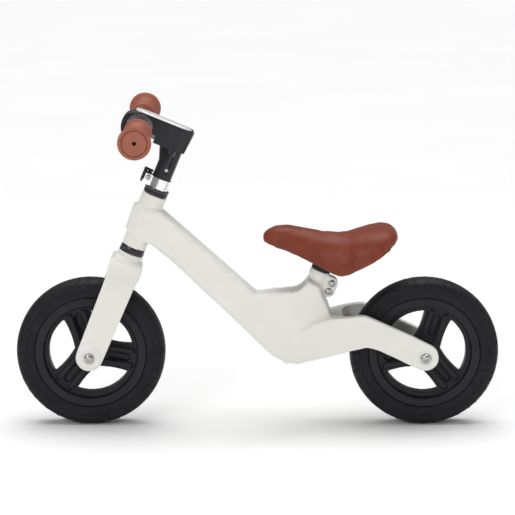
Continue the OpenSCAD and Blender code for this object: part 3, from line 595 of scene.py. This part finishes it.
def grip_section(low, high, flange, bore):
    """Section of a grip between its two ends, as (radius, y) in mm."""
    # the inner flange and the fall to the waist
    points = [(bore, low), (19.7, low), (20.4, low + 0.7), (20.4, low + 2.9), (19.6, low + 3.7),
              (17.2, low + 4.6), (15.4, low + 6.2), (14.3, low + 9.0)]
    for i in range(RING_COUNT):
        y = low + 12 + i * RING_PITCH
        waist = WAIST_R + WAIST_SWELL * math.sin(math.pi * (i + 0.5) / RING_COUNT)
        points += [(waist, y), (waist + RING_H * 0.8, y + 0.5), (waist + RING_H, y + 1.4),
                   (waist + RING_H, y + 3.0), (waist + RING_H * 0.8, y + 3.9), (waist, y + 4.4)]
    # the rise to the wide flange
    points += [(14.0, high - 20), (14.8, high - 14), (16.6, high - 10.4), (19.6, high - 8.2),
               (22.6, high - 7.2), (flange - 0.3, high - 6.2), (flange, high - 4.8),
               (flange, high - 2.6), (flange - 0.5, high - 1.2), (flange - 1.8, high - 0.5)]
    # the end face, with a groove round it and a hole in its middle
    points += [(flange - 4.4, high - 0.5), (flange - 5.0, high - 0.9), (flange - 5.3, high - 2.0),
               (flange - 6.1, high - 2.0), (flange - 6.4, high - 0.6), (flange - 7.0, high),
               (4.0, high), (3.2, high - 0.3), (END_HOLE_R, high - 0.9),
               (END_HOLE_R, high - END_WALL), (bore, high - END_WALL)]
    return points


rubber = grip_rubber()
bar_low, bar_high = (Vector(c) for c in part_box("handlebar"))
bar_centre = (bar_low + bar_high) / 2
bar_r = (bar_high.x - bar_low.x) / 2 / MM
for node, name, side in (("grip_left", "left_grip_rubber", -1), ("grip_right", "right_grip_rubber", 1)):
    low, high = (Vector(c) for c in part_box(node))
    inner = min(abs(low.y), abs(high.y)) / MM
    outer = max(abs(low.y), abs(high.y)) / MM
    flange = (high.x - low.x) / 2 / MM
    section = [(r, side * y) for r, y in grip_section(inner, outer, flange, bar_r)]
    grip = spin_section(section, name, 360, 64, whole=True)
    grip.data.transform(Matrix.Translation((bar_centre.x, 0, bar_centre.z)))
    select_only(grip)
    bpy.ops.object.shade_smooth_by_angle(angle=math.radians(40))
    dress(grip, rubber)
    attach(grip, "handlebar")
    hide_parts(node)

# ---- Floor and light ----------------------------------------------------
# A pale studio floor under soft lamps: the main one by the front wheel, a
# weaker one by the rear wheel and a wide one overhead, in a bright room.


def pale_floor():
    # matt paint, with drifts of tone too faint to notice
    material, tree, shader, place = start_material("pale_floor", Roughness=0.7)
    tint(tree, shader, grain(tree, place, 400), "F8F8F8", "FAFAFA")
    return material


bpy.ops.mesh.primitive_plane_add(size=14, location=(0, 0, 0))
floor = bpy.context.object
floor.name = "floor"
dress(floor, pale_floor())


def soft_lamp(name, place, size, watts):
    """A rectangular lamp that is aimed at the middle of the bike."""
    turn = (view_point - Vector(place)).to_track_quat("-Z", "Y").to_euler()
    bpy.ops.object.light_add(type="AREA", location=place, rotation=turn)
    lamp = bpy.context.object
    lamp.name = name
    lamp.data.shape = "RECTANGLE"
    lamp.data.size, lamp.data.size_y = size
    lamp.data.energy = watts


soft_lamp("front_lamp", place=(-1.6, -2.6, 1.7), size=(1.1, 0.9), watts=26)
soft_lamp("side_lamp", place=(2.4, -1.4, 0.9), size=(0.8, 1.0), watts=8)
TOP_STRENGTH = 2.5
TOP_SPREAD = 60                         # degrees, wide enough to leave no hard shadow
TOP_LEAN = -8                           # degrees, so that it falls a little from behind
ROOM_STRENGTH = 0.26
bpy.ops.object.light_add(type="SUN", location=(0, 0, 3), rotation=(math.radians(TOP_LEAN), 0, 0))
top_lamp = bpy.context.object
top_lamp.name = "top_lamp"
top_lamp.data.energy = TOP_STRENGTH
top_lamp.data.angle = math.radians(TOP_SPREAD)
world = bpy.data.worlds.new("studio")
world.use_nodes = True
background = world.node_tree.nodes["Background"]
background.inputs["Color"].default_value = hex_colour("FFFFFF")
background.inputs["Strength"].default_value = ROOM_STRENGTH
bpy.context.scene.world = world
bpy.context.scene.view_settings.view_transform = "Standard"
